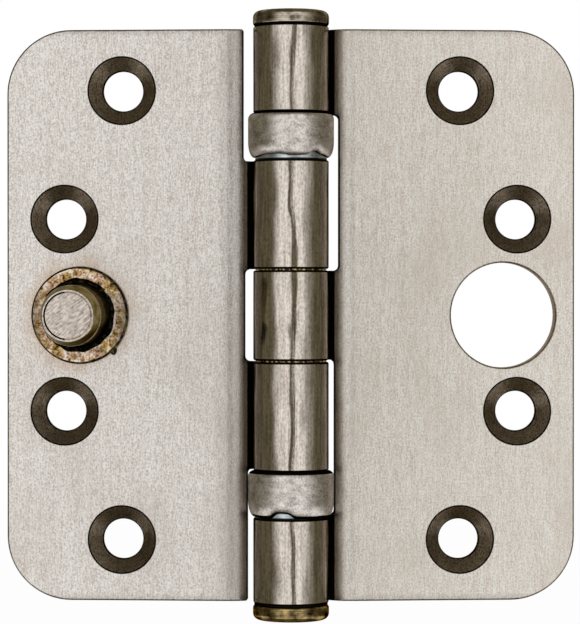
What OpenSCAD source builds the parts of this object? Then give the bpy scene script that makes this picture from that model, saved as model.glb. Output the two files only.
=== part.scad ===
// Ball bearing butt hinge with a security stud, in millimetres.
// The pin axis is Z, the origin is on it at mid-height, and the screw heads face -Y.
// The frame leaf lies at +X. The door leaf lies at -X, folded back a little beyond flat.

/* [Leaves] */
// Height of both leaves, along the pin
leaf_h = 89; // [84:1:120]
// Width of one leaf, from the pin axis to its outer edge
leaf_w = 44.5; // [43:0.5:60]
// Thickness of the leaf steel
leaf_t = 2.8; // [2.4:0.1:3.2]
// Radius of the outer corners
corner_r = 10; // [3:0.5:11]
// Gap between the two leaves when the hinge is closed
closed_gap = 1.8; // [1.2:0.1:2.6]
// Distance from the pin axis at which the leaf starts to bend forward
swage_start = 5; // [4:0.1:6]
// Length over which the bend brings the leaf forward
swage_run = 5; // [4.5:0.1:7]
// Gap between the bearings' outside and the edge of the other leaf, above the middle knuckle
upper_notch_gap = 1.1; // [0.5:0.05:2]
// The same gap beside the middle knuckle
middle_notch_gap = 0.85; // [0.5:0.05:2]
// The same gap below the middle knuckle
lower_notch_gap = 0.45; // [0.4:0.05:2]
// Radius in the inner corners of the notches
notch_r = 0.8; // [0.4:0.1:0.9]
// Angle by which the open leaves are folded back beyond flat
rest_fold = 8; // [0:1:15]

/* [Barrel] */
// Diameter of the hinge pin
pin_d = 6; // [5:0.1:6.6]
// Radial clearance of the pin in the knuckles
knuckle_clear = 0.05; // [0.01:0.01:0.1]
// Height of the top and bottom knuckles
end_knuckle_h = 13.2; // [9:0.1:15]
// Height of the middle knuckle
mid_knuckle_h = 13.9; // [10:0.1:18]
// Gap between two knuckles that meet without a bearing
knuckle_gap = 0.25; // [0.15:0.05:0.5]
// Seam left where a knuckle's rolled end comes back to its leaf
seam_gap = 0.35; // [0.2:0.05:0.8]
// Diameter of the pin caps
cap_d = 11.8; // [9:0.1:13]
// Height of the pin caps, with their crown
cap_h = 2.8; // [2.4:0.1:4]
// Height of the shallow crown on the caps' ends
cap_crown = 0.2; // [0.05:0.05:0.3]
// Radius of the rounded edges of the caps
cap_edge_r = 1; // [0.3:0.1:1]
// Depth to which the pin is pressed into each cap
cap_seat = 1.5; // [1:0.1:1.7]

/* [Bearings] */
// Outer diameter of the bearing shells
bearing_d = 13.3; // [12.9:0.1:14.5]
// Height of one bearing
bearing_h = 7.3; // [6.6:0.1:9]
// Wall of the pressed shells
shell_t = 0.5; // [0.4:0.05:0.6]
// Outer radius of the bend at the closed end of the shells
shell_bend_r = 0.9; // [0.7:0.05:1.1]
// Radius of the lip that is rolled in under the lower race
lip_r = 0.9; // [0.7:0.05:1.1]
// Flat rim of the lip beyond its roll
lip_rim = 0.1; // [0.05:0.05:0.3]
// Height of the lower race's neck that shows below the lip
neck_show = 0.8; // [0.5:0.1:1.2]
// Diameter of the balls
ball_d = 2; // [1.6:0.1:2.1]
// Number of balls in one bearing
ball_count = 10; // [8:1:11]
// Depth of the ball groove in each race
groove_depth = 0.45; // [0.3:0.05:0.6]
// Clearance between the balls and the grooves
ball_clear = 0.03; // [0.02:0.01:0.06]
// Radial clearance of the races on the pin and in the shells
race_clear = 0.1; // [0.06:0.01:0.1]

/* [Screw holes] */
// Diameter of the through holes
screw_d = 6.2; // [4.5:0.1:6.5]
// Diameter of the countersinks at the leaf's face
csk_d = 10.5; // [9:0.1:11]
// Distance of the end holes from the leaf's ends
end_hole_end = 9.5; // [8:0.5:12]
// Distance of the end holes from the leaf's outer edge
end_hole_edge = 18; // [12:0.5:20]
// Distance of the middle holes from mid-height
mid_hole_z = 15; // [15:0.5:18]
// Distance of the middle holes from the leaf's outer edge
mid_hole_edge = 9; // [8:0.5:14]

/* [Security stud] */
// Diameter of the stud
stud_d = 9.9; // [7:0.1:10.8]
// Height of the stud above the leaf
stud_h = 12; // [8:0.5:14]
// Chamfer at the stud's tip
stud_chamfer = 0.85; // [0.3:0.05:1.2]
// Diameter of the stud's shank in the leaf
shank_d = 8; // [5:0.1:9]
// Distance of the stud and of its hole from the leaf's outer edge
stud_edge = 11.2; // [10:0.1:14]
// Outer diameter of the collar around the stud
collar_d = 15.2; // [14:0.1:16]
// Bore of the collar, and of the seat in the leaf under it
collar_bore_d = 11.7; // [11:0.1:12]
// Height of the collar above the leaf
collar_h = 1; // [0.5:0.1:1.2]
// Depth of the seat around the stud in the leaf
seat_depth = 1; // [0.3:0.1:1.4]
// Radial clearance of the other leaf's hole around the collar
stud_hole_clear = 0.6; // [0.3:0.1:1.5]

/* [Hidden] */
$fn = 64;
bearings = ["upper", "lower"];

// Barrel
pin_r = pin_d / 2;
bore_r = pin_r + knuckle_clear;
barrel_r = bore_r + leaf_t;
bearing_r = bearing_d / 2;
half_h = leaf_h / 2;
stud_x = leaf_w - stud_edge;
cap_fit = 0.01;
overlap = 1;

// Heights along the pin: each knuckle is [low end, high end]
mid_top = mid_knuckle_h / 2;
door_low = mid_top + knuckle_gap;
bearing_top = half_h - end_knuckle_h;
door_high = bearing_top - bearing_h;
frame_knuckles = [[bearing_top, half_h], [-mid_top, mid_top], [-half_h, -bearing_top]];
door_knuckles = [[door_low, door_high], [-door_high, -door_low]];
bearing_base = [door_high, -bearing_top];

// Notches that clear the other leaf's barrel: each is [low end, high end, x of its edge]
clear_r = max(barrel_r, bearing_r);
frame_notches = [
    [mid_top, bearing_top, clear_r + upper_notch_gap], [-bearing_top, -mid_top, clear_r + lower_notch_gap]
];
door_notches = [
    [door_high, half_h + overlap, clear_r + upper_notch_gap],
    [-door_low, door_low, clear_r + middle_notch_gap],
    [-half_h - overlap, -door_high, clear_r + lower_notch_gap]
];

// Section of a leaf: the plate is bent back so that it runs into the back of the barrel
face_y = closed_gap / 2;
jog = bore_r - face_y;
bend_angle = 2 * atan(jog / swage_run);
bend_r = swage_run / (2 * sin(bend_angle));
bend_steps = 6;
seam_angle = asin((bore_r - seam_gap) / barrel_r);

// Bearing
shell_in_r = bearing_r - shell_t;
race_in_r = pin_r + race_clear;
race_out_r = shell_in_r - race_clear;
lip_bore_r = bearing_r - lip_r - lip_rim;
neck_r = lip_bore_r - race_clear;
shell_h = bearing_h - neck_show;
ball_r = ball_d / 2;
half_race_gap = ball_r - groove_depth;
race_t = (bearing_h - neck_show - 2 * shell_t - race_clear - 2 * half_race_gap) / 2;
race_low = neck_show + shell_t + race_clear;
ball_z = race_low + race_t + half_race_gap;
pitch_r = (race_in_r + race_out_r) / 2;
cage_clear = 0.1;
cage_rim = 0.3;
cage_in_r = pitch_r - ball_r - cage_clear - cage_rim;
cage_out_r = pitch_r + ball_r + cage_clear + cage_rim;
cage_h = 2 * (half_race_gap - cage_clear);

// Chamfer of a race that clears the inside of a bend in the shell
function race_chamfer(bend_r) = bend_r - shell_t / 2 - race_clear;

// Points of an arc around a centre, from one angle to another
function arc(centre, r, from, to, steps) =
    [for (i = [0:steps]) let (a = from + (to - from) * i / steps) centre + r * [cos(a), sin(a)]];

// One side of the bent plate, 1 for its back and -1 for its front
// Its first point belongs to the tongue that joins the plate to the barrel
function bent_side(side) = let (half_t = leaf_t / 2) concat(
    [[-half_t, bore_r + half_t + side * half_t / 2], [0, bore_r + half_t + side * half_t]],
    arc([swage_start, bore_r + half_t - bend_r], bend_r + side * half_t,
        90, 90 - bend_angle, bend_steps),
    arc([swage_start + swage_run, face_y + half_t + bend_r], bend_r - side * half_t,
        270 - bend_angle, 270, bend_steps),
    [[leaf_w, face_y + half_t + side * half_t]]
);

// The same points in the opposite order
function reversed(points) = [for (i = [len(points) - 1:-1:0]) points[i]];

// Section of the plate, up to where it runs into the back of the barrel
module plate_section() {
    polygon(concat(bent_side(1), reversed(bent_side(-1))));
}

// Section of a knuckle: from the back of the barrel round the pin to the seam in front of the plate
module knuckle_section() {
    far = 2 * barrel_r;
    difference() {
        circle(barrel_r);
        circle(bore_r);
        polygon([[0, 0], far * [cos(seam_angle), sin(seam_angle)], [far, far], [0, far]]);
    }
}

// What a round corner leaves of its square, with the corner at the origin
module corner_piece(r) {
    difference() {
        square(r);
        translate([r, r]) circle(r);
    }
}

// One notch, with round inner corners
module notch(n) {
    start_x = -barrel_r - 2 * overlap;
    difference() {
        translate([start_x, n[0]]) square([n[2] - start_x, n[1] - n[0]]);
        translate([n[2], n[0]]) mirror([1, 0]) corner_piece(notch_r);
        translate([n[2], n[1]]) mirror([1, 0]) mirror([0, 1]) corner_piece(notch_r);
    }
}

// The leaf's outline seen from the front, with its notches and its round outer corners
module leaf_outline(notches) {
    difference() {
        translate([-barrel_r - overlap, -half_h]) square([leaf_w + barrel_r + overlap, leaf_h]);
        for (side = [-1, 1]) scale([1, side])
            translate([leaf_w, -half_h]) mirror([1, 0]) corner_piece(corner_r);
        for (n = notches) notch(n);
    }
}

// A hole through the plate, along Y
module plate_hole(x, z, d) {
    translate([x, face_y - overlap, z]) rotate([-90, 0, 0]) cylinder(d = d, h = leaf_t + 2 * overlap);
}

// A screw hole with its countersink in the front face
module screw_hole(x, z) {
    plate_hole(x, z, screw_d);
    translate([x, face_y - overlap, z]) rotate([-90, 0, 0])
        cylinder(r1 = csk_d / 2 + overlap, r2 = screw_d / 2, h = (csk_d - screw_d) / 2 + overlap);
}

// A leaf with its knuckles and screw holes, at +X
module leaf(knuckles, notches) {
    difference() {
        union() {
            intersection() {
                translate([0, 0, -half_h]) linear_extrude(leaf_h) plate_section();
                rotate([90, 0, 0]) translate([0, 0, -barrel_r - overlap])
                    linear_extrude(2 * (barrel_r + overlap)) leaf_outline(notches);
            }
            for (k = knuckles) translate([0, 0, k[0]]) linear_extrude(k[1] - k[0]) knuckle_section();
        }
        for (side = [-1, 1]) {
            screw_hole(leaf_w - end_hole_edge, side * (half_h - end_hole_end));
            screw_hole(leaf_w - mid_hole_edge, side * mid_hole_z);
        }
    }
}

// What belongs to the door leaf is made at +X, mirrored and folded back
module on_door_leaf() {
    rotate([0, 0, -rest_fold]) mirror([1, 0, 0]) children();
}

// Frame leaf: three knuckles, and the hole that the other leaf's stud enters
module frame_leaf() {
    color("#c8c0b5") difference() {
        leaf(frame_knuckles, frame_notches);
        plate_hole(stud_x, 0, collar_d + 2 * stud_hole_clear);
    }
}

// Door leaf: two knuckles, and the seat of the stud
module door_leaf() {
    color("#c8c0b5") on_door_leaf() difference() {
        leaf(door_knuckles, door_notches);
        plate_hole(stud_x, 0, shank_d);
        translate([stud_x, face_y - overlap, 0]) rotate([-90, 0, 0])
            cylinder(d = collar_bore_d, h = overlap + seat_depth);
    }
}

// Plain pin, pressed into a cap at each end
module hinge_pin() {
    color("#b9b2a8") translate([0, 0, -half_h - cap_seat]) cylinder(d = pin_d, h = leaf_h + 2 * cap_seat);
}

// Round cap with a crowned end and a blind hole for the pin, standing on the plane z = 0
module pin_cap() {
    hole_r = pin_r + cap_fit;
    flat_r = cap_d / 2 - cap_edge_r;
    rotate_extrude() polygon(concat(
        [[hole_r, 0]],
        arc([flat_r, cap_edge_r], cap_edge_r, -90, 0, 4),
        arc([flat_r, cap_h - cap_crown - cap_edge_r], cap_edge_r, 0, 90, 4),
        [for (f = [0.75, 0.5, 0.25, 0]) [flat_r * f, cap_h - cap_crown * f * f]],
        [[0, cap_seat], [hole_r, cap_seat]]
    ));
}

// Cap on the upper end of the pin
module top_pin_cap() {
    color("#8d8478") translate([0, 0, half_h]) pin_cap();
}

// The same cap on the lower end, upside down
module bottom_pin_cap() {
    color("#97855a") translate([0, 0, -half_h]) mirror([0, 0, 1]) pin_cap();
}

// Places a turned piece of the stud on the door leaf, with its Z axis out of the leaf's face
module at_stud() {
    on_door_leaf() translate([stud_x, face_y, 0]) rotate([90, 0, 0]) children();
}

// Turned stud: the shank fills its hole in the leaf and is welded there
module security_stud() {
    color("#b3a89b") at_stud() rotate_extrude() polygon([
        [0, -leaf_t], [shank_d / 2, -leaf_t], [shank_d / 2, -seat_depth], [stud_d / 2, -seat_depth],
        [stud_d / 2, stud_h - stud_chamfer], [stud_d / 2 - stud_chamfer, stud_h], [0, stud_h]
    ]);
}

// Ring welded on the leaf around the stud
module stud_collar() {
    outer_r = collar_d / 2;
    inner_r = collar_bore_d / 2;
    edge = collar_h * 0.35;
    color("#99825a") at_stud() rotate_extrude() polygon([
        [inner_r, 0], [outer_r, 0], [outer_r, collar_h - edge], [outer_r - edge, collar_h],
        [inner_r + edge / 2, collar_h], [inner_r, collar_h - edge / 2]
    ]);
}

// Pressed cup: closed above, with its lip rolled in below
module bearing_shell() {
    lip_centre_r = bearing_r - lip_r;
    bend_centre = [bearing_r - shell_bend_r, shell_h - shell_bend_r];
    color("#a2998f") translate([0, 0, neck_show]) rotate_extrude() polygon(concat(
        [[race_in_r, shell_h], [race_in_r, shell_h - shell_t]],
        arc(bend_centre, shell_bend_r - shell_t, 90, 0, 3),
        arc([lip_centre_r, lip_r], lip_r - shell_t, 0, -90, 4),
        [[lip_bore_r, shell_t], [lip_bore_r, 0]],
        arc([lip_centre_r, lip_r], lip_r, -90, 0, 6),
        arc(bend_centre, shell_bend_r, 0, 90, 5)
    ));
}

// Section of the groove in which the balls run
module groove() {
    translate([pitch_r, ball_z]) circle(ball_r + ball_clear);
}

// Hardened washer with a ball groove, held in the cup
module bearing_top_race() {
    low = ball_z + half_race_gap;
    high = bearing_h - shell_t;
    chamfer = race_chamfer(shell_bend_r);
    color("#b4b8bb") rotate_extrude() difference() {
        polygon([
            [race_in_r, low], [race_out_r, low], [race_out_r, high - chamfer],
            [race_out_r - chamfer, high], [race_in_r, high]
        ]);
        groove();
    }
}

// Hardened washer with a ball groove, whose neck comes out through the lip
module bearing_bottom_race() {
    high = race_low + race_t;
    chamfer = race_chamfer(lip_r);
    color("#b4b8bb") rotate_extrude() difference() {
        polygon([
            [race_in_r, 0], [neck_r, 0], [neck_r, race_low], [race_out_r - chamfer, race_low],
            [race_out_r, race_low + chamfer], [race_out_r, high], [race_in_r, high]
        ]);
        groove();
    }
}

// Flat ring with a pocket for each ball
module ball_cage() {
    color("#b9964e") difference() {
        translate([0, 0, ball_z - cage_h / 2]) linear_extrude(cage_h) difference() {
            circle(cage_out_r);
            circle(cage_in_r);
        }
        for (i = [1:ball_count]) at_ball(i)
            cylinder(r = ball_r + cage_clear, h = cage_h + overlap, center = true);
    }
}

// Places a piece where the ball number i runs
module at_ball(i) {
    rotate([0, 0, 360 * i / ball_count]) translate([pitch_r, 0, ball_z]) children();
}

// Hardened steel ball
module ball(i) {
    color("#d9dcde") at_ball(i) sphere(r = ball_r);
}

frame_leaf();
door_leaf();
hinge_pin();
top_pin_cap();
bottom_pin_cap();
security_stud();
stud_collar();
for (b = [0, 1]) translate([0, 0, bearing_base[b]]) {
    bearing_shell();
    bearing_top_race();
    bearing_bottom_race();
    ball_cage();
    for (i = [1:ball_count]) ball(i);
}
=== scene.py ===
import math
import bmesh
import bpy
from mathutils import Matrix, Vector, noise


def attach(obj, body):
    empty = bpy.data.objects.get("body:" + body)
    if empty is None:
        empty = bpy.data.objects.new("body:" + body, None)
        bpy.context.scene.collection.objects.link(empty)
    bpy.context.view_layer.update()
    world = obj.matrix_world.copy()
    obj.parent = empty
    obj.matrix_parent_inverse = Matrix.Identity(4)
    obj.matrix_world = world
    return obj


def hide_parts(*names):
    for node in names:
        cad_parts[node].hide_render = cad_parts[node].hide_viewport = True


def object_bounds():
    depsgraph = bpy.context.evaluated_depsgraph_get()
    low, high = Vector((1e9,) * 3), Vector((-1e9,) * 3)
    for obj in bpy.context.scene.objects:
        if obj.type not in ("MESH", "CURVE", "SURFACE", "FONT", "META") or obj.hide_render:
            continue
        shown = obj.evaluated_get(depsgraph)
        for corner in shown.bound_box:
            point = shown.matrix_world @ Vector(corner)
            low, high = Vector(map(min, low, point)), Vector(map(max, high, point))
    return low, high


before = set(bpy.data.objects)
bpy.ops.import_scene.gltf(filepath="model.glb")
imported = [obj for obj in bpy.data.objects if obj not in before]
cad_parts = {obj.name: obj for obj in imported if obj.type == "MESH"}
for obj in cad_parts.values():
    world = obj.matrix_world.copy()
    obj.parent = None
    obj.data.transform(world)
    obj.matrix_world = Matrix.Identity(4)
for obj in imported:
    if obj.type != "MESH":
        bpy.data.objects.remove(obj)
cad_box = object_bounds()

# Camera of the photograph: a long lens a little under half a metre in front of the barrel, slightly to its
# left and just above mid-height. Both leaves are seen almost square on.
MM = 0.001
camera_azimuth = math.radians(-4.23)
camera_elevation = math.radians(0.415)
camera_distance = 450 * MM
aim_right = -0.155 * MM
aim_height = 0.523 * MM
sensor_width = 36
lens_length = 167.5
scene = bpy.context.scene
scene.view_settings.view_transform = "Standard"
to_right = Vector((math.cos(camera_azimuth), math.sin(camera_azimuth), 0))
to_camera = Vector((
    math.sin(camera_azimuth) * math.cos(camera_elevation),
    -math.cos(camera_azimuth) * math.cos(camera_elevation),
    math.sin(camera_elevation),
))
camera = bpy.data.objects.new("camera", bpy.data.cameras.new("camera"))
scene.collection.objects.link(camera)
camera.data.sensor_width = sensor_width
camera.data.lens = lens_length
camera.data.clip_start = 10 * MM
camera.location = to_right * aim_right + Vector((0, 0, aim_height)) + to_camera * camera_distance
camera.rotation_euler = to_camera.to_track_quat("Z", "Y").to_euler()
scene.camera = camera


# Studio: an even white sky and a pale floor, both white where the camera or the steel sees them. Soft-edged
# dark cloths hang at the sides, above, below and in a narrow strip in front, as in a light tent. They give
# the round steel its dark sides and the thin dark line down its middle.
floor_size = 6.0
floor_drop = 0.2
floor_colour = "#efefef"
floor_glow = 0.92
sky_light = 0.9
cloth_radius = 0.7
side_cloth_h = 1.4
strip_h = 0.34
roof_height = 0.6
roof_radius = 0.65
low_radius = 0.25
low_lift = 1 * MM
soft_rim = 0.7
cloth_colour = "#645f4c"


def linear(hex_colour):
    """An sRGB hex colour as the linear colour that a shader takes."""
    channels = [int(hex_colour[i:i + 2], 16) / 255 for i in (1, 3, 5)]
    return [c / 12.92 if c <= 0.04045 else ((c + 0.055) / 1.055) ** 2.4 for c in channels] + [1]


def add(tree, kind, inputs=None, stops=None, **settings):
    """Adds a node. An input is a value, or the socket that it is linked from. The stops are the places and
    colours of a ramp."""
    made = tree.nodes.new(kind)
    for name, value in settings.items():
        setattr(made, name, value)
    for name, value in (inputs or {}).items():
        if isinstance(value, bpy.types.NodeSocket):
            tree.links.new(value, made.inputs[name])
        else:
            made.inputs[name].default_value = value
    if stops:
        ramp = made.color_ramp.elements
        while len(ramp) < len(stops):
            ramp.new(1)
        for element, (place, colour) in zip(ramp, stops):
            element.position = place
            element.color = linear(colour)
    return made


def new_material(name):
    """An empty node material, and its tree."""
    material = bpy.data.materials.new(name)
    material.use_nodes = True
    material.node_tree.nodes.clear()
    return material, material.node_tree


def new_piece(name, bm, *materials):
    """Makes an object of a bmesh, with its materials."""
    mesh = bpy.data.meshes.new(name)
    bm.to_mesh(mesh)
    bm.free()
    for material in materials:
        mesh.materials.append(material)
    piece = bpy.data.objects.new(name, mesh)
    scene.collection.objects.link(piece)
    return piece


sky = bpy.data.worlds.new("sky")
scene.world = sky
sky.use_nodes = True
tree = sky.node_tree
tree.nodes.clear()
rays = add(tree, "ShaderNodeLightPath")
seen = add(tree, "ShaderNodeMath", {
    0: rays.outputs["Is Camera Ray"], 1: rays.outputs["Is Glossy Ray"]}, operation="MAXIMUM")
seen = add(tree, "ShaderNodeMath", {
    0: seen.outputs[0], 1: rays.outputs["Is Transmission Ray"]}, operation="MAXIMUM")
level = add(tree, "ShaderNodeMapRange", {"Value": seen.outputs[0], "To Min": sky_light, "To Max": 1.0})
shine = add(tree, "ShaderNodeBackground", {"Color": linear("#ffffff"), "Strength": level.outputs[0]})
add(tree, "ShaderNodeOutputWorld", {"Surface": shine.outputs[0]})

# White paper: matt, so it keeps the object's shadow. To the camera and the steel most of it is plain white.
floor_paper, tree = new_material("floor_paper")
rays = add(tree, "ShaderNodeLightPath")
seen = add(tree, "ShaderNodeMath", {
    0: rays.outputs["Is Camera Ray"], 1: rays.outputs["Is Glossy Ray"]}, operation="MAXIMUM")
share = add(tree, "ShaderNodeMath", {0: seen.outputs[0], 1: floor_glow}, operation="MULTIPLY")
paper = add(tree, "ShaderNodeBsdfDiffuse", {"Color": linear(floor_colour)})
white = add(tree, "ShaderNodeEmission", {"Color": linear("#ffffff"), "Strength": 1.0})
mixed = add(tree, "ShaderNodeMixShader", {0: share.outputs[0], 1: paper.outputs[0], 2: white.outputs[0]})
add(tree, "ShaderNodeOutputMaterial", {"Surface": mixed.outputs[0]})
bm = bmesh.new()
bmesh.ops.create_grid(bm, x_segments=1, y_segments=1, size=floor_size / 2)
bmesh.ops.translate(bm, verts=bm.verts, vec=(0, 0, cad_box[0].z - floor_drop))
floor = new_piece("floor", bm, floor_paper)


def hang_cloth(tree, cover):
    """Ends a material as dark cloth where cover is 1 and as nothing where it is 0."""
    gap = add(tree, "ShaderNodeBsdfTransparent")
    cloth = add(tree, "ShaderNodeEmission", {"Color": linear(cloth_colour), "Strength": 1.0})
    mixed = add(tree, "ShaderNodeMixShader", {0: cover, 1: gap.outputs[0], 2: cloth.outputs[0]})
    add(tree, "ShaderNodeOutputMaterial", {"Surface": mixed.outputs[0]})


def cloth_ring(name, height, middle, stops):
    """A soft-edged dark cloth around the object. A stop's place is the angle from the back, through the
    left, the camera at 0.5 and the right, and its colour is how much of the sky the cloth covers there."""
    material, tree = new_material(name + "_cloth")
    place = add(tree, "ShaderNodeTexCoord")
    turned_place = add(tree, "ShaderNodeMapping", {
        "Vector": place.outputs["Object"], "Rotation": (0, 0, math.radians(90) - camera_azimuth)})
    around = add(tree, "ShaderNodeTexGradient", {"Vector": turned_place.outputs[0]}, gradient_type="RADIAL")
    cover = add(tree, "ShaderNodeValToRGB", {"Fac": around.outputs["Fac"]}, stops=stops)
    hang_cloth(tree, cover.outputs["Color"])
    bm = bmesh.new()
    bmesh.ops.create_cone(bm, cap_ends=False, segments=96, radius1=cloth_radius, radius2=cloth_radius,
                          depth=height)
    bmesh.ops.translate(bm, verts=bm.verts, vec=(0, 0, middle))
    return new_piece(name, bm, material)


def cloth_disc(name, height, radius):
    """A dark cloth above or below the object, soft at its rim."""
    material, tree = new_material(name + "_cloth")
    place = add(tree, "ShaderNodeTexCoord")
    flat = add(tree, "ShaderNodeVectorMath", {
        0: place.outputs["Object"], 1: (1, 1, 0)}, operation="MULTIPLY")
    out = add(tree, "ShaderNodeVectorMath", {0: flat.outputs[0]}, operation="LENGTH")
    cover = add(tree, "ShaderNodeMapRange", {
        "Value": out.outputs["Value"], "From Min": radius * soft_rim, "From Max": radius,
        "To Min": 1.0, "To Max": 0.0})
    hang_cloth(tree, cover.outputs[0])
    bm = bmesh.new()
    bmesh.ops.create_circle(bm, cap_ends=True, segments=64, radius=radius)
    bmesh.ops.translate(bm, verts=bm.verts, vec=(0, 0, height))
    return new_piece(name, bm, material)


cloths = (
    cloth_ring("side_flags", side_cloth_h, side_cloth_h / 2 + cad_box[0].z - floor_drop, [
        (0.08, "#000000"), (0.14, "#ffffff"), (0.32, "#ffffff"), (0.347, "#f6f6f6"), (0.375, "#cecece"),
        (0.4, "#6c6c6c"), (0.42, "#000000"), (0.597, "#000000"), (0.625, "#b8b8b8"), (0.66, "#dfdfdf"),
        (0.69, "#f3f3f3"), (0.72, "#ffffff"), (0.86, "#ffffff"), (0.92, "#000000")]),
    cloth_ring("lens_strip", strip_h, 0, [
        (0.483, "#000000"), (0.49, "#ffffff"), (0.529, "#ffffff"), (0.536, "#000000")]),
    cloth_disc("roof_flag", roof_height, roof_radius),
    cloth_disc("low_flag", cad_box[0].z - floor_drop + low_lift, low_radius),
)
for cloth in cloths:
    cloth.visible_camera = False
    cloth.visible_diffuse = False
    cloth.visible_shadow = False


# Leaves: two stainless sheets, stamped out, rolled round the pin and brushed lengthwise by a belt. The
# knuckles are smoother where the rolls ironed them, and the countersinks are bare from the cutter and dark,
# partly as painted shade.
leaf_half_h = 44.5 * MM
leaf_t = 2.8 * MM
face_y = 0.9 * MM
barrel_r = 5.85 * MM
swage_end = 10 * MM
rest_fold = math.radians(8)
stud_x = 33.3 * MM
big_hole_r = 8.2 * MM
screw_places = [(26.5 * MM, 35 * MM), (35.5 * MM, 15 * MM)]
countersink_r = 5.25 * MM
edge_break = 0.14 * MM
rim_break = 0.25 * MM
notch_edge = 0.34 * MM
knuckle_edge = 0.34 * MM
sharp_angle = math.radians(35)
flat_angle = math.radians(0.5)
barrel_slack = 0.05 * MM
notch_end = 8.2 * MM
crotch_end = 7.05 * MM
crotch_top = 4 * MM
merge_gap = 0.001 * MM
door_turn = Matrix.Rotation(-rest_fold, 4, "Z") @ Matrix.Scale(-1, 4, (1, 0, 0))
plate, knuckle, countersink, cut_edge, shade_black = range(5)


def leaf_piece(node, turn, *materials):
    """A merged copy of a leaf, with its edges broken, its materials by face and its curved faces smooth. A
    face's material follows from its place and from how squarely it looks out of the sheet, which is 0 for
    an edge and 1 for a side."""
    bm = bmesh.new()
    bm.from_mesh(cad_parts[node].data)
    bmesh.ops.remove_doubles(bm, verts=bm.verts, dist=merge_gap)
    bmesh.ops.dissolve_limit(bm, angle_limit=flat_angle, verts=bm.verts, edges=bm.edges)
    to_leaf = turn.inverted()
    # The top and bottom edges are cut where the notches end, because they are painted black as shade only
    # beside the barrel
    ends = [face for face in bm.faces
            if abs(face.normal.z) > 0.9 and abs(face.calc_center_median().z) > leaf_half_h - edge_break]
    at_ends = {part for face in ends for part in (face, *face.edges, *face.verts)}
    bmesh.ops.bisect_plane(bm, geom=list(at_ends), plane_co=turn @ Vector((notch_end, 0, 0)),
                           plane_no=turn.to_3x3() @ Vector((1, 0, 0)))
    for face in bm.faces:
        middle = to_leaf @ face.calc_center_median()
        corners = [to_leaf @ vertex.co for vertex in face.verts]
        out = abs((to_leaf.to_3x3() @ face.normal).y)
        hole = min((Vector((middle.x, abs(middle.z))) - Vector(place)).length for place in screw_places)
        # The flat ends of the knuckles, the steel just beside the barrel and the walls of the notches take
        # the black finish, painted shade in the gaps and in the crotch
        if max(corner.xy.length for corner in corners) < barrel_r + barrel_slack:
            face.material_index = shade_black if abs(face.normal.z) > 0.9 else knuckle
        elif max(corner.x for corner in corners) < crotch_end and middle.y < crotch_top and out > 0.5:
            face.material_index = shade_black
        elif out < 0.95 and hole < countersink_r:
            face.material_index = countersink
        elif out < 0.2:
            face.material_index = shade_black if middle.x < notch_end else cut_edge
        face.smooth = face.material_index != plate or middle.x < swage_end

    def break_edges(offset, segments, finish, wanted, clamp=True):
        """Rounds the sharp edges that are wanted, which is asked with the leaf's coordinates of an edge's
        ends and the materials beside it. The new faces get the finish, or for None keep their neighbours'."""
        edges = [edge for edge in bm.edges if edge.is_manifold and edge.calc_face_angle() > sharp_angle
                 and wanted(*[to_leaf @ vertex.co for vertex in edge.verts],
                            {face.material_index for face in edge.link_faces})]
        made = bmesh.ops.bevel(bm, geom=edges, offset=offset, offset_type="OFFSET", affect="EDGES",
                               segments=segments, profile=0.5, material=-1, clamp_overlap=clamp)
        for face in made["faces"]:
            face.smooth = True
            if finish is not None:
                face.material_index = finish

    def knuckle_end(a, b, kinds):
        """The round edge at the end of a knuckle, all but the topmost, which lies under the cap."""
        outside = min(a.xy.length, b.xy.length) > barrel_r - edge_break
        level = abs(a.z - b.z) < edge_break and a.z < leaf_half_h - edge_break
        return knuckle in kinds and len(kinds) > 1 and outside and level

    def outline(a, b, kinds):
        """The outline of the leaf and of its big hole, but not the seat of the stud."""
        from_seat = (a.xz - Vector((stud_x, 0))).length
        beyond = max(a.x, b.x) > notch_end and from_seat > big_hole_r - rim_break
        return kinds == {plate, cut_edge} and beyond

    # The rounded ends of the knuckles, the notch edges and the countersinks' rims are painted black as shade
    break_edges(knuckle_edge, 3, shade_black, knuckle_end)
    break_edges(notch_edge, 3, shade_black,
                lambda a, b, kinds: kinds == {plate, shade_black} and min(a.x, b.x) > crotch_end)
    break_edges(edge_break, 2, shade_black, lambda a, b, kinds: countersink in kinds and plate in kinds)
    break_edges(rim_break, 3, shade_black, lambda a, b, kinds: kinds == {countersink})
    # The rounding of the outline gets the dark countersink finish, painted shade along the edge
    break_edges(rim_break, 3, countersink, outline, clamp=False)
    break_edges(edge_break, 2, None, lambda a, b, kinds: True)
    bmesh.ops.remove_doubles(bm, verts=bm.verts, dist=merge_gap)
    for edge in bm.edges:
        edge.smooth = edge.calc_face_angle(0) < sharp_angle
    piece = new_piece(node + "_brushed", bm, *materials)
    weights = piece.modifiers.new("weighted_normals", "WEIGHTED_NORMAL")
    weights.mode = "FACE_AREA"
    weights.weight = 100
    weights.keep_sharp = True
    return piece


def grain(tree, width, length, detail=2.0, rotation=(0, 0, 0), along="z"):
    """Noise drawn out along one axis: width and length are those of its streaks, in metres."""
    place = add(tree, "ShaderNodeTexCoord")
    scale = [1 / length if axis == along else 1 / width for axis in "xyz"]
    turned_place = add(tree, "ShaderNodeMapping", {"Vector": place.outputs["Object"], "Rotation": rotation})
    stretched = add(tree, "ShaderNodeMapping", {"Vector": turned_place.outputs[0], "Scale": scale})
    noisy = add(tree, "ShaderNodeTexNoise", {"Vector": stretched.outputs[0], "Scale": 1.0, "Detail": detail})
    return noisy.outputs["Fac"]


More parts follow.
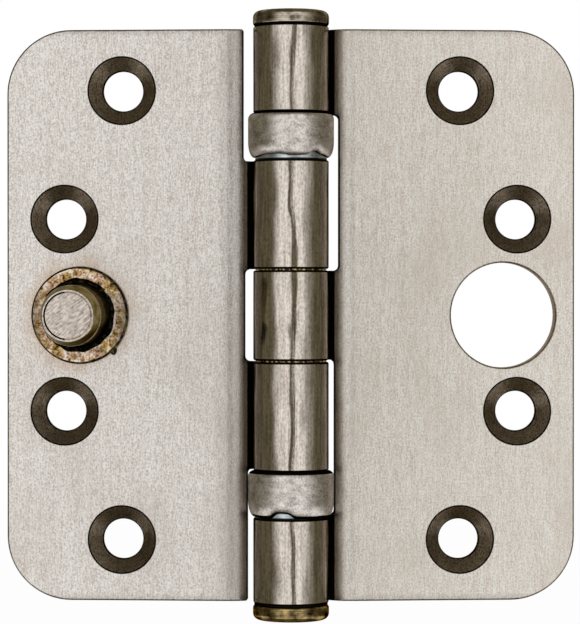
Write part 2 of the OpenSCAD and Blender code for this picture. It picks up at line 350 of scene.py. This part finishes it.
def metal(tree, colour, roughness, tone, strength, depth, rim="#ffffff", metallic=1.0, dents=None):
    """Ends a material as metal. Its colour and roughness are values or sockets, tone is the height of its
    ridges, and rim tints what it mirrors at a glancing angle, where dirty metal is darker than clean."""
    relief = {"Height": tone, "Strength": strength, "Distance": depth}
    if dents:
        relief["Normal"] = dents
    ridges = add(tree, "ShaderNodeBump", relief)
    steel = add(tree, "ShaderNodeBsdfPrincipled", {
        "Base Color": colour, "Metallic": metallic, "Roughness": roughness, "Specular Tint": linear(rim),
        "Normal": ridges.outputs[0]})
    add(tree, "ShaderNodeOutputMaterial", {"Surface": steel.outputs[0]})


def centred_on(tree, centre):
    """Object coordinates, counted from a centre."""
    place = add(tree, "ShaderNodeTexCoord")
    moved = add(tree, "ShaderNodeMapping", {"Vector": place.outputs["Object"], "Location": -centre})
    return moved.outputs[0]


stain_in_r = 9.2 * MM
stain_out_r = 11.8 * MM
stain_rag = 3 * MM
stain_reach = 4 * MM
seat_in_r = 6.0 * MM
seat_out_r = 6.3 * MM
barrel_shade_start = 7.6 * MM
dark_end_band = 1.2 * MM


def brushed_steel(name, dark, light, roughness, rim="#8a7f72", stained=False, barrel_shade_to=0):
    """Belt-brushed stainless: a satin grey with fine streaks along Z, soft broad ones, specks and clouds,
    between the colours dark and light. A real scratch is about 0.03 mm wide, but a streak is drawn 0.17 mm
    wide so that it shows. If stained, the heat of the weld left a straw ring round the stud and a black
    seat under it. If barrel_shade_to is given, painted shade darkens it towards the barrel from that distance
    on, and it is darker at its top and bottom.
    """
    material, tree = new_material(name)
    fine = grain(tree, 0.17 * MM, 1.4 * MM, 3)
    broad = grain(tree, 0.9 * MM, 16 * MM, 2)
    specks = grain(tree, 0.23 * MM, 0.3 * MM, 1)
    clouds = grain(tree, 13 * MM, 20 * MM, 2)
    streaks = add(tree, "ShaderNodeMix", {"Factor": 0.25, "A": fine, "B": broad}).outputs[0]
    tone = add(tree, "ShaderNodeMix", {"Factor": 0.5, "A": streaks, "B": specks}).outputs[0]
    colour = add(tree, "ShaderNodeValToRGB", {"Fac": tone}, stops=[(0.38, dark), (0.6, light)])
    cloudy = add(tree, "ShaderNodeMapRange", {
        "Value": clouds, "From Min": 0.5, "From Max": 0.7, "To Max": 0.35})
    shade = add(tree, "ShaderNodeMix", {
        "Factor": cloudy.outputs[0], "A": colour.outputs["Color"], "B": linear(dark)}, data_type="RGBA")
    rough = add(tree, "ShaderNodeMapRange", {
        "Value": streaks, "From Min": 0.3, "From Max": 0.7,
        "To Min": roughness - 0.05, "To Max": roughness + 0.05})
    if stained:
        centred = centred_on(tree, door_turn @ Vector((stud_x, face_y, 0)))
        away = add(tree, "ShaderNodeVectorMath", {0: centred}, operation="LENGTH").outputs["Value"]
        wobble = grain(tree, stain_rag, stain_rag, 3)
        ragged = add(tree, "ShaderNodeMath", {0: wobble, 1: stain_reach, 2: away}, operation="MULTIPLY_ADD")
        stain = add(tree, "ShaderNodeMapRange", {
            "Value": ragged.outputs[0], "From Min": stain_in_r, "From Max": stain_out_r,
            "To Min": 0.4, "To Max": 0.0})
        seat = add(tree, "ShaderNodeMapRange", {
            "Value": away, "From Min": seat_in_r, "From Max": seat_out_r, "To Min": 1.0, "To Max": 0.0})
        shade = add(tree, "ShaderNodeMix", {
            "Factor": stain.outputs[0], "A": shade.outputs["Result"], "B": linear("#c79a68")},
                    data_type="RGBA")
        shade = add(tree, "ShaderNodeMix", {
            "Factor": seat.outputs[0], "A": shade.outputs["Result"], "B": linear("#14100b")},
                    data_type="RGBA")
    if barrel_shade_to:
        place = add(tree, "ShaderNodeTexCoord").outputs["Object"]
        flat = add(tree, "ShaderNodeVectorMath", {0: place, 1: (1, 1, 0)}, operation="MULTIPLY")
        from_pin = add(tree, "ShaderNodeVectorMath", {0: flat.outputs[0]}, operation="LENGTH")
        painted_shade = add(tree, "ShaderNodeMapRange", {
            "Value": from_pin.outputs["Value"], "From Min": barrel_shade_start, "From Max": barrel_shade_to,
            "To Min": 0.42, "To Max": 0.0})
        height = add(tree, "ShaderNodeSeparateXYZ", {0: place}).outputs["Z"]
        height = add(tree, "ShaderNodeMath", {0: height}, operation="ABSOLUTE").outputs[0]
        end_darkening = add(tree, "ShaderNodeMapRange", {
            "Value": height, "From Min": leaf_half_h - dark_end_band, "From Max": leaf_half_h, "To Max": 0.3})
        share = add(tree, "ShaderNodeMath", {0: painted_shade.outputs[0], 1: end_darkening.outputs[0]}, operation="MAXIMUM")
        # Painted shade towards the barrel, and darker bands at the top and bottom
        shade = add(tree, "ShaderNodeMix", {
            "Factor": share.outputs[0], "A": shade.outputs["Result"], "B": linear("#3a3228")},
                    data_type="RGBA")
    metal(tree, shade.outputs["Result"], rough.outputs[0], tone, 0.35, 0.03 * MM, rim)
    return material


# The faces are light, a sheared edge is duller and browner, a countersink is darker still, partly as painted
# shade, and the steel beside the barrel is painted nearly black as shade
leaf_steel = brushed_steel("brushed_stainless", "#dacbbd", "#fffdf6", 0.36, barrel_shade_to=10.2 * MM)
stained_leaf_steel = brushed_steel("brushed_stainless_heat_stained", "#cbc0b6", "#fffcf7", 0.36,
                                   stained=True, barrel_shade_to=12 * MM)
edge_steel = brushed_steel("sheared_edge_stainless", "#857a6d", "#b8ac9e", 0.4, rim="#b5aa9c")
cutter_steel = brushed_steel("countersunk_stainless", "#5e5244", "#b0a28e", 0.42)
shade_black_steel = brushed_steel("painted_shade_black_stainless", "#15110d", "#262019", 0.6, rim="#100e0a")

# Rolled stainless: the same steel, ironed smooth, so that it mirrors the tent in narrow bands that waver
# with the dents of the rolls. Its streaks are drawn coarser than the real ones, so that they show.
rolled_steel, tree = new_material("rolled_stainless")
streaks = grain(tree, 0.35 * MM, 6 * MM, 3)
specks = grain(tree, 0.3 * MM, 0.5 * MM, 2)
waves = grain(tree, 4.5 * MM, 9 * MM, 1)
tone = add(tree, "ShaderNodeMix", {"Factor": 0.5, "A": streaks, "B": specks}).outputs[0]
colour = add(tree, "ShaderNodeValToRGB", {"Fac": tone}, stops=[(0.36, "#aaa094"), (0.6, "#e6dcd1")])
rough = add(tree, "ShaderNodeMapRange", {"Value": streaks, "To Min": 0.07, "To Max": 0.17})
dents = add(tree, "ShaderNodeBump", {"Height": waves, "Strength": 1.0, "Distance": 0.5 * MM})
metal(tree, colour.outputs["Color"], rough.outputs[0], tone, 0.35, 0.025 * MM, "#3c372b",
      dents=dents.outputs[0])

for node, body, turn, face_steel in (("frame_leaf", "frame_side", Matrix.Identity(4), leaf_steel),
                                     ("door_leaf", "door_side", door_turn, stained_leaf_steel)):
    leaf = leaf_piece(node, turn, face_steel, rolled_steel, cutter_steel, edge_steel, shade_black_steel)
    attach(leaf, body)
    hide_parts(node)


# Pin and its caps: a ground bar with a turned cap pressed on each end. The top cap has gone grey brown and
# the bottom one brassy, and the groove where a cap meets its knuckle is painted black as shade.
cap_r = 5.9 * MM
cap_h = 2.8 * MM
cap_crown = 0.2 * MM
cap_edge_r = 1 * MM
cap_low_r = 0.6 * MM
cap_neck_r = 5.7 * MM
cap_neck_h = 0.2 * MM
top_shade_h = 0.35 * MM
bottom_shade_h = 0.08 * MM
cap_seat = 1.5 * MM
pin_hole_r = 3.01 * MM
painted_shade_way = (0.42, 0, -0.91)
painted_shade_start = 2.2 * MM
painted_shade_full = 3.3 * MM
shade_edge = 0.05 * MM


def arc(centre, radius, start, end, steps):
    """Points (r, z) of an arc of a turned profile, with its angles in degrees."""
    for i in range(steps + 1):
        angle = math.radians(start + (end - start) * i / steps)
        yield centre[0] + radius * math.cos(angle), centre[1] + radius * math.sin(angle)


def turned(name, profile, place, *materials, steps=96, sharp=30):
    """Spins a closed profile of (r, z) points about Z and puts it in place, smooth but for sharp edges."""
    bm = bmesh.new()
    points = [bm.verts.new((r, 0, z)) for r, z in profile]
    edges = [bm.edges.new(pair) for pair in zip(points, points[1:] + points[:1])
             if max(pair[0].co.x, pair[1].co.x) > 0]
    bmesh.ops.spin(bm, geom=points + edges, cent=(0, 0, 0), axis=(0, 0, 1), angle=math.tau, steps=steps,
                   use_merge=True)
    bmesh.ops.remove_doubles(bm, verts=bm.verts, dist=merge_gap)
    bmesh.ops.recalc_face_normals(bm, faces=bm.faces)
    for face in bm.faces:
        face.smooth = True
    for edge in bm.edges:
        edge.smooth = edge.calc_face_angle(0) < math.radians(sharp)
    bmesh.ops.transform(bm, matrix=place, verts=bm.verts)
    if place.determinant() < 0:
        bmesh.ops.reverse_faces(bm, faces=bm.faces)
    return new_piece(name, bm, *materials)


def turned_steel(name, dark, light, roughness, rim="#ffffff", painted_shade_at=None, shade_below=None):
    """Turned metal: fine rings round a vertical axis, under a mottled skin of the colours between dark and
    light. The rings are 0.12 mm apart, coarser than the real ones, so that they show. Past a place that is
    given, towards the lower right, it is painted black as shade, and below a height that is given as well."""
    material, tree = new_material(name)
    rings = grain(tree, 40 * MM, 0.12 * MM, 2)
    mottle = grain(tree, 1.6 * MM, 1.2 * MM, 4)
    tone = add(tree, "ShaderNodeMix", {"Factor": 0.7, "A": rings, "B": mottle}).outputs[0]
    colour = add(tree, "ShaderNodeValToRGB", {"Fac": tone}, stops=[(0.38, dark), (0.6, light)])
    shade = colour.outputs["Color"]
    if painted_shade_at:
        down = add(tree, "ShaderNodeVectorMath", {
            0: centred_on(tree, painted_shade_at), 1: painted_shade_way}, operation="DOT_PRODUCT")
        side_shade = add(tree, "ShaderNodeMapRange", {
            "Value": down.outputs["Value"], "From Min": painted_shade_start, "From Max": painted_shade_full,
            "To Max": 0.97})
        # Painted shade, black towards the lower right
        shade = add(tree, "ShaderNodeMix", {
            "Factor": side_shade.outputs[0], "A": shade, "B": linear("#14100b")}, data_type="RGBA")
        shade = shade.outputs["Result"]
    if shade_below:
        place = add(tree, "ShaderNodeTexCoord").outputs["Object"]
        height = add(tree, "ShaderNodeSeparateXYZ", {0: place}).outputs["Z"]
        painted_shade = add(tree, "ShaderNodeMapRange", {
            "Value": height, "From Min": shade_below - shade_edge, "From Max": shade_below,
            "To Min": 0.97, "To Max": 0.0})
        # Painted black shade below the height that is given
        shade = add(tree, "ShaderNodeMix", {
            "Factor": painted_shade.outputs[0], "A": shade, "B": linear("#100d0a")}, data_type="RGBA")
        shade = shade.outputs["Result"]
    metal(tree, shade, roughness, tone, 0.5, 0.03 * MM, rim)
    return material


cap_profile = [
    (pin_hole_r, 0), (cap_neck_r, 0), (cap_neck_r, cap_neck_h),
    *arc((cap_r - cap_low_r, cap_neck_h + cap_low_r), cap_low_r, -90, 0, 8),
    *arc((cap_r - cap_edge_r, cap_h - cap_crown - cap_edge_r), cap_edge_r, 0, 90, 8),
    *[((cap_r - cap_edge_r) * f, cap_h - cap_crown * f * f) for f in (0.75, 0.5, 0.25, 0)], (0, cap_seat),
    (pin_hole_r, cap_seat),
]
top_cap_steel = turned_steel("turned_stainless_grey_brown", "#665c4f", "#d6cab9", 0.18, rim="#6a5f4e")
bottom_cap_steel = turned_steel("turned_stainless_brassy", "#2a2214", "#c8ae78", 0.22, rim="#5a4926")
for end, side, cap_steel, cap_shade_h in (("top", 1, top_cap_steel, top_shade_h),
                                    ("bottom", -1, bottom_cap_steel, bottom_shade_h)):
    place = Matrix.Scale(side, 4, (0, 0, 1)) @ Matrix.Translation((0, 0, leaf_half_h))
    cap = turned(end + "_cap", cap_profile, place, cap_steel, shade_black_steel)
    # The foot of each cap, in the groove at its knuckle, takes the black finish as painted shade
    for face in cap.data.polygons:
        face.material_index = int(abs(face.center.z) < leaf_half_h + cap_neck_h + cap_shade_h)
    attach(cap, "frame_side")
    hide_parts(end + "_pin_cap")


def finish_node(name, material):
    """Gives a node of the frame its finish."""
    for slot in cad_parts[name].material_slots:
        slot.material = material


# A ground bar is smooth and evenly grey
finish_node("hinge_pin", turned_steel("ground_stainless_bar", "#857c70", "#b5aca0", 0.25))


# Bearings: a pressed cup holds two hardened washers with ten balls in a brass cage between them. Its lip is
# crimped in round the neck of the lower washer, unevenly, with a nick where a tool slipped.
bearing_r = 6.65 * MM
bearing_h = 7.3 * MM
shell_t = 0.5 * MM
shell_bend_r = 0.9 * MM
lip_r = 1 * MM
lip_h = 1.9 * MM
neck_show = 0.8 * MM
neck_shade_h = 0.26 * MM
race_in_r = 3.1 * MM
lip_bore_r = 5.65 * MM
ripple = 0.02 * MM
ripples = 9
balls = 10
shell_h = bearing_h - neck_show
bend_centre = (bearing_r - shell_bend_r, shell_h - shell_bend_r)


def rolled_lip(radius, low):
    """Points of the lip's curve, which is taller than it is wide, from its bottom to the wall of the cup."""
    for r, z in arc((bearing_r - lip_r, lip_h), radius, -90, 0, 10):
        yield r, lip_h + (z - lip_h) * (lip_h - low) / radius


shell_profile = [
    (race_in_r, shell_h), (race_in_r, shell_h - shell_t),
    *arc(bend_centre, shell_bend_r - shell_t, 90, 0, 4),
    *reversed(list(rolled_lip(lip_r - shell_t, shell_t))), (lip_bore_r, 0),
    *list(rolled_lip(lip_r, 0))[1:],
    *arc(bend_centre, shell_bend_r, 0, 90, 8),
]
# Pressed steel: the press leaves it dull and evenly hazy, lighter than the leaves and without their streaks
shell_steel, tree = new_material("pressed_steel_cup")
haze = grain(tree, 1.6 * MM, 0.9 * MM, 4)
fine = grain(tree, 0.25 * MM, 0.3 * MM, 2)
tone = add(tree, "ShaderNodeMix", {"Factor": 0.5, "A": haze, "B": fine}).outputs[0]
colour = add(tree, "ShaderNodeValToRGB", {"Fac": tone}, stops=[(0.36, "#b3aba4"), (0.6, "#fff8f2")])
metal(tree, colour.outputs["Color"], 0.4, tone, 0.4, 0.03 * MM, "#8f877a")
# Ground steel is cool and bluish, the balls mirror sharply, and the cage has the yellow of plain brass
race_steel = turned_steel("ground_bearing_steel", "#96a0a4", "#e6f0f2", 0.18)
ball_steel = turned_steel("polished_ball_steel", "#c3c8cb", "#e3e6e8", 0.06)
cage_brass = turned_steel("pressed_brass", "#a5803a", "#cfa95c", 0.3)
# The lips' ups and downs: place in degrees from the front towards +X, half width in radians, and height
upper_lip = [(34, 0.14, 0.42 * MM), (4, 0.3, -0.2 * MM), (-85, 0.5, -0.4 * MM), (85, 0.5, -0.4 * MM)]
lower_lip = [(-17, 0.27, 0.84 * MM), (180, 7, -0.76 * MM)]
for bearing, low, body, bumps, shaded_end, shaded_lip in (
        ("upper", 24.0 * MM, "frame_side", upper_lip, 0.25 * MM, 0.1 * MM),
        ("lower", -31.3 * MM, "door_side", lower_lip, 0.4 * MM, 0.32 * MM)):
    shell_low = low + neck_show
    shell = turned(bearing + "_cup", shell_profile, Matrix.Translation((0, 0, shell_low)), shell_steel,
                   shade_black_steel, steps=144)
    # The top of the cup beside the knuckle and the underside of its lip take the black finish as painted
    # shade
    for face in shell.data.polygons:
        height = face.center.z - shell_low
        face.material_index = int(height > shell_h - shaded_end or height < shaded_lip)
    for vertex in shell.data.vertices:
        share = min(max(1 - (vertex.co.z - shell_low) / lip_h, 0), 1)
        around = math.atan2(vertex.co.x, -vertex.co.y)
        rise = sum(height * math.exp(-((around - math.radians(at)) / width) ** 4)
                   for at, width, height in bumps)
        vertex.co.z += share * (rise + ripple * math.sin(ripples * around))
    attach(shell, body)
    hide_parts(bearing + "_bearing_shell")
    # The neck of the lower washer is a bright strip below the lip, with painted black shade at its foot
    neck_steel = turned_steel("ground_bearing_steel_shaded_foot", "#a3adb1", "#f2fbff", 0.42,
                              shade_below=low + neck_shade_h)
    finish_node(bearing + "_bearing_top_race", race_steel)
    finish_node(bearing + "_bearing_bottom_race", neck_steel)
    finish_node(bearing + "_ball_cage", cage_brass)
    for i in range(1, balls + 1):
        finish_node(f"{bearing}_ball_{i}", ball_steel)


# Gap film: a dark film fills the thin gaps where the middle knuckle meets its neighbours, painted shade
# where light would show through between them. It is dark brown in the shade and glints like brass where
# it mirrors the light.
gap_film_in_r = 3.1 * MM
gap_film_r = 5.5 * MM
gap_film_bulge = 0.01 * MM
mid_top = 6.95 * MM
knuckle_gap = 0.25 * MM
gap_film_t = 0.18 * MM
gap_shade_film, tree = new_material("brown_gap_shade_film")
lumps = grain(tree, 0.5 * MM, 0.5 * MM, 3)
colour = add(tree, "ShaderNodeValToRGB", {"Fac": lumps}, stops=[(0.46, "#241a0d"), (0.58, "#e0bd78")])
wet = add(tree, "ShaderNodeBsdfPrincipled", {
    "Base Color": colour.outputs["Color"], "Metallic": 0.6, "Roughness": 0.25})
add(tree, "ShaderNodeOutputMaterial", {"Surface": wet.outputs[0]})
gap_film_profile = [
    (gap_film_in_r, -gap_film_t / 2), (gap_film_r, -gap_film_t / 2), (gap_film_r + gap_film_bulge, 0),
    (gap_film_r, gap_film_t / 2), (gap_film_in_r, gap_film_t / 2),
]
for name, low in (("upper", mid_top), ("lower", -mid_top - knuckle_gap)):
    place = Matrix.Translation((0, 0, low + knuckle_gap / 2))
    film = turned(name + "_gap_shade_film", gap_film_profile, place, gap_shade_film)
    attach(film, "frame_side")


# Security stud: turned bar, pressed through the door leaf and welded round its foot. It tapers towards its
# end, which was faced, has a shallow ring, and carries slanting scratches from trying it in the other leaf.
stud_r = 4.95 * MM
stud_h = 12 * MM
shank_r = 4 * MM
seat_depth = 1 * MM
ring_r = 3.6 * MM
ring_w = 0.13 * MM
ring_depth = 0.16 * MM
ring_shade = 0.5 * MM
stud_wear = 0.12 * MM
stud_body_r = 4.7 * MM
stud_end_r = 4.0 * MM
stud_taper = 3.2 * MM
stud_foot = 0.6 * MM
foot_run = 0.4 * MM
at_stud = door_turn @ Matrix.Translation((stud_x, face_y, 0)) @ Matrix.Rotation(math.radians(90), 4, "X")
from_stud = at_stud.inverted()
stud_profile = [
    (0, -leaf_t), (shank_r, -leaf_t), (shank_r, -seat_depth), (stud_r, -seat_depth),
    (stud_r, stud_foot), (stud_body_r, stud_foot + foot_run),
    (stud_body_r, stud_h - stud_taper - stud_wear), (stud_body_r - stud_wear / 2, stud_h - stud_taper),
    (stud_end_r + stud_wear / 2, stud_h - stud_wear), (stud_end_r - stud_wear / 2, stud_h),
    (ring_r + ring_w, stud_h), (ring_r, stud_h - ring_depth), (ring_r - ring_w, stud_h), (0, stud_h),
]
# The stud's turned side is an even olive, and at its lower right it is painted black as shade
stud_side = turned_steel("turned_stainless_olive", "#6a614b", "#b9ae8c", 0.3, rim="#b8ae8e",
                         painted_shade_at=at_stud.translation)
# Faced stainless: light, with bright and dark scratches, drawn 0.16 mm wide so that they show
faced_steel, tree = new_material("faced_stainless_scratched")
scratches = grain(tree, 0.16 * MM, 2.4 * MM, 3, rotation=(0, math.radians(38), 0), along="x")
spots = grain(tree, 0.5 * MM, 0.5 * MM, 3)
tone = add(tree, "ShaderNodeMix", {"Factor": 0.4, "A": scratches, "B": spots}).outputs[0]
colour = add(tree, "ShaderNodeValToRGB", {"Fac": tone}, stops=[(0.36, "#978b80"), (0.6, "#ece0d4")])
metal(tree, colour.outputs["Color"], 0.3, tone, 0.6, 0.05 * MM)
stud = turned("stud", stud_profile, at_stud, stud_side, faced_steel, shade_black_steel, sharp=8)
for face in stud.data.polygons:
    local = from_stud @ face.center
    in_ring = local.xy.length < ring_r + ring_w and stud_h - ring_depth < local.z < stud_h - 0.01 * MM
    # One half of the ring groove takes the black finish, painted shade
    if in_ring and local.x > ring_shade:
        face.material_index = 2
    elif stud_h - stud_wear < local.z or stud_h - stud_taper - stud_wear < local.z < stud_h - stud_taper:
        face.material_index = 1
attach(stud, "door_side")
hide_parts("security_stud")


# Weld: a rough ring of weld round the stud's foot, with a ragged inner rim, a black root that runs down to
# the stud, and one bead of spatter at its lower right. The noise of its shape is counted in waves per metre.
collar_r = 7.6 * MM
collar_bore_r = 5.85 * MM
collar_h = 1 * MM
collar_edge = 0.3 * MM
collar_lean = 0.28 * MM
skin = 0.02 * MM
painted_highlight_w = 0.2 * MM
painted_highlight_side = 4.4 * MM
crust_depth = 0.1 * MM
side_dark_start = 4.8 * MM
side_dark_full = 6.9 * MM
rag_height = 0.16 * MM
rag_sink = 0.05 * MM
rag_share = 0.028
coarse_waves = 900
fine_waves = 2600
rim_waves = 700
spatter_at = (-5.5 * MM, -5.5 * MM, 0.15 * MM)
spatter_r = 0.55 * MM
spatter_waves = 1800
flat_w = collar_r - collar_edge - collar_bore_r
collar_profile = [
    (collar_bore_r, 0), (collar_r, 0), (collar_r, collar_h - collar_edge),
    *[(collar_r - collar_edge - flat_w * f, collar_h) for f in (0, 0.3, 0.6, 0.84, 1)],
]
# Heat tint: a thin oxide on the bright weld, gold and pink in patches and olive brown at its left and right
heat_tint, tree = new_material("heat_tinted_stainless_weld")
patches = grain(tree, 1.1 * MM, 1.1 * MM, 3)
grit = grain(tree, 0.34 * MM, 0.34 * MM, 2)
hues = grain(tree, 2.2 * MM, 2.2 * MM, 2)
tone = add(tree, "ShaderNodeMix", {"Factor": 0.5, "A": patches, "B": grit}).outputs[0]
gold = add(tree, "ShaderNodeValToRGB", {"Fac": tone}, stops=[
    (0.36, "#3a2a12"), (0.43, "#9a7c45"), (0.52, "#d8b478"), (0.59, "#fff0cc")])
pink = add(tree, "ShaderNodeValToRGB", {"Fac": tone}, stops=[
    (0.36, "#4a3526"), (0.43, "#ac8b70"), (0.52, "#e6c2a4"), (0.59, "#fff6ea")])
which = add(tree, "ShaderNodeMapRange", {"Value": hues, "From Min": 0.42, "From Max": 0.58})
hue = add(tree, "ShaderNodeMix", {
    "Factor": which.outputs[0], "A": gold.outputs["Color"], "B": pink.outputs["Color"]}, data_type="RGBA")
across = add(tree, "ShaderNodeSeparateXYZ", {0: centred_on(tree, at_stud.translation)}).outputs["X"]
across = add(tree, "ShaderNodeMath", {0: across}, operation="ABSOLUTE").outputs[0]
side_darkening = add(tree, "ShaderNodeMapRange", {
    "Value": across, "From Min": side_dark_start, "From Max": side_dark_full, "To Max": 0.65})
# Darker towards the left and right of the ring
sides_darkened = add(tree, "ShaderNodeMix", {
    "Factor": side_darkening.outputs[0], "A": hue.outputs["Result"], "B": linear("#4c3c1c")}, data_type="RGBA")
metal(tree, sides_darkened.outputs["Result"], 0.36, tone, 0.6, 0.06 * MM)

# Weld oxide: a rough black crust with olive lights
weld_oxide, tree = new_material("black_weld_oxide")
crust = grain(tree, 0.6 * MM, 0.6 * MM, 3)
colour = add(tree, "ShaderNodeValToRGB", {"Fac": crust}, stops=[(0.48, "#17120d"), (0.66, "#6f6543")])
metal(tree, colour.outputs["Color"], 0.42, crust, 0.8, crust_depth, metallic=0.8)

collar = turned("collar", collar_profile, at_stud, heat_tint, weld_oxide, faced_steel, steps=120)
for face in collar.data.polygons:
    local = from_stud @ face.center
    in_rim = local.z > collar_h - skin and local.xy.length < collar_bore_r + painted_highlight_w
    face.material_index = int(local.xy.length > collar_r - collar_edge or local.z < collar_h - crust_depth)
    # On the right the inner rim takes the light faced finish, a painted highlight
    if in_rim and local.x < -painted_highlight_side:
        face.material_index = 2
for vertex in collar.data.vertices:
    local = from_stud @ vertex.co
    reach = (local.xy.length - collar_bore_r) / (collar_r - collar_bore_r)
    if local.z > collar_h / 2:
        rough = noise.noise(local * coarse_waves) + 0.5 * noise.noise(local * fine_waves)
        local.z += rag_height * rough * (1 - reach) - rag_sink
        local.xy *= 1 - rag_share * (1 - reach) * (0.6 + 1.6 * noise.noise(local * rim_waves))
    local.x -= collar_lean * max(reach, 0)
    vertex.co = at_stud @ local
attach(collar, "door_side")
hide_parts("stud_collar")

root_in_r = stud_r + 0.01 * MM
root_out_r = collar_bore_r - skin
root_low = -seat_depth + skin
root = turned("weld_root", [
    (root_in_r, root_low), (root_out_r, root_low), (root_out_r, 0.1 * MM), (5.5 * MM, -0.35 * MM),
    (5.15 * MM, -0.2 * MM), (root_in_r, 0.35 * MM),
], at_stud, weld_oxide)
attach(root, "door_side")

bm = bmesh.new()
bmesh.ops.create_icosphere(bm, subdivisions=3, radius=spatter_r)
bmesh.ops.scale(bm, verts=bm.verts, vec=(1, 1.25, 0.8))
for vertex in bm.verts:
    vertex.co *= 1 + 0.25 * noise.noise(vertex.co * spatter_waves)
bmesh.ops.translate(bm, verts=bm.verts, vec=spatter_at)
bmesh.ops.transform(bm, matrix=at_stud, verts=bm.verts)
bmesh.ops.recalc_face_normals(bm, faces=bm.faces)
for face in bm.faces:
    face.smooth = True
spatter = new_piece("weld_spatter", bm, weld_oxide)
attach(spatter, "door_side")
